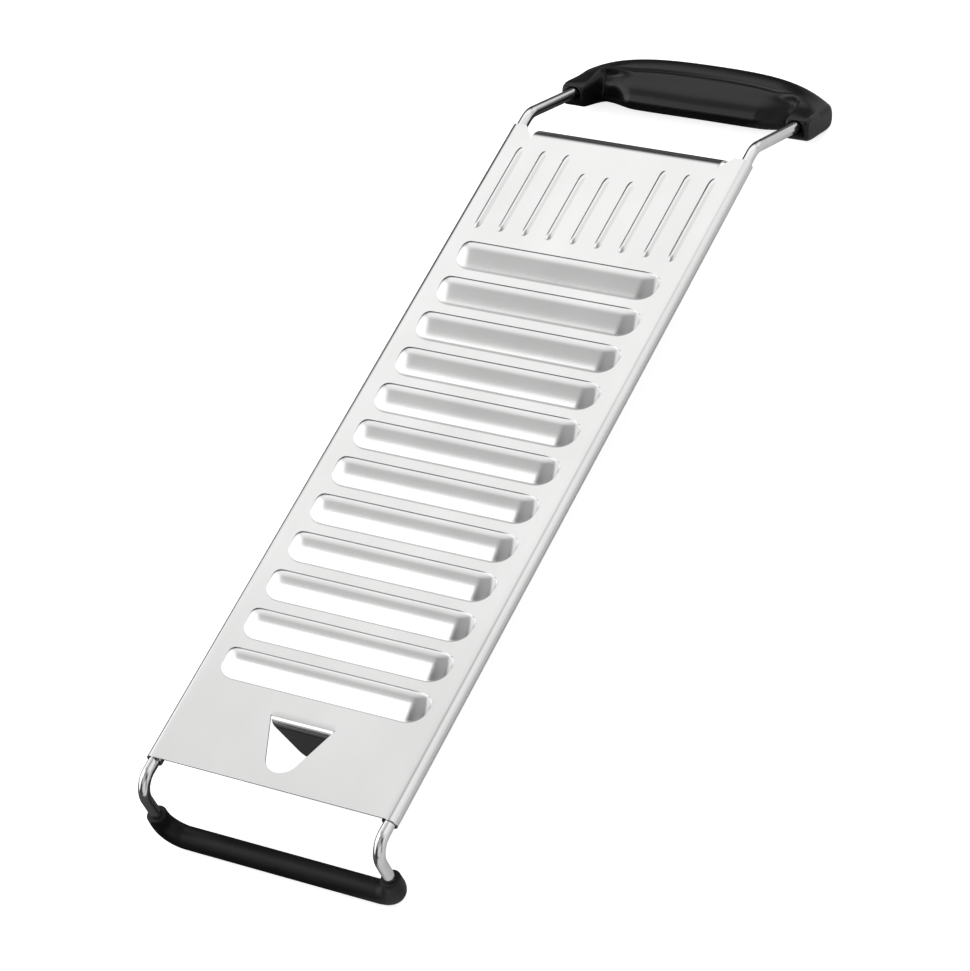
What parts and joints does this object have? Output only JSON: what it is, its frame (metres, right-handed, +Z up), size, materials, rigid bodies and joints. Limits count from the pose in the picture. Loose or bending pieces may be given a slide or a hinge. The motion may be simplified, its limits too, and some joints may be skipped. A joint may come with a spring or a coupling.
{
  "type": "flat multi-blade vegetable slicer",
  "caption": "Flat hand slicer: a pressed steel plate of raised louvre blades in a bent wire frame, with a plastic handle at one end and a rubber-sleeved foot at the other",
  "frame": {"origin": "on the surface it stands on, under the middle of the bounding box", "axes": "+Z up, square to the plate; +Y along the plate from the foot to the handle; X across the plate"},
  "size_m": [0.115, 0.4034, 0.041],
  "materials": {
    "plate_steel": "satin stainless sheet, finely brushed",
    "wire_steel": "bright polished stainless rod",
    "handle_plastic": "black satin moulded plastic",
    "sleeve_rubber": "black matte rubber"
  },
  "bodies": {
    "root": {"slicing_plate": "plate_steel", "wire_frame": "wire_steel", "handle": "handle_plastic", "foot_sleeve": "sleeve_rubber"}
  },
  "joints": []
}
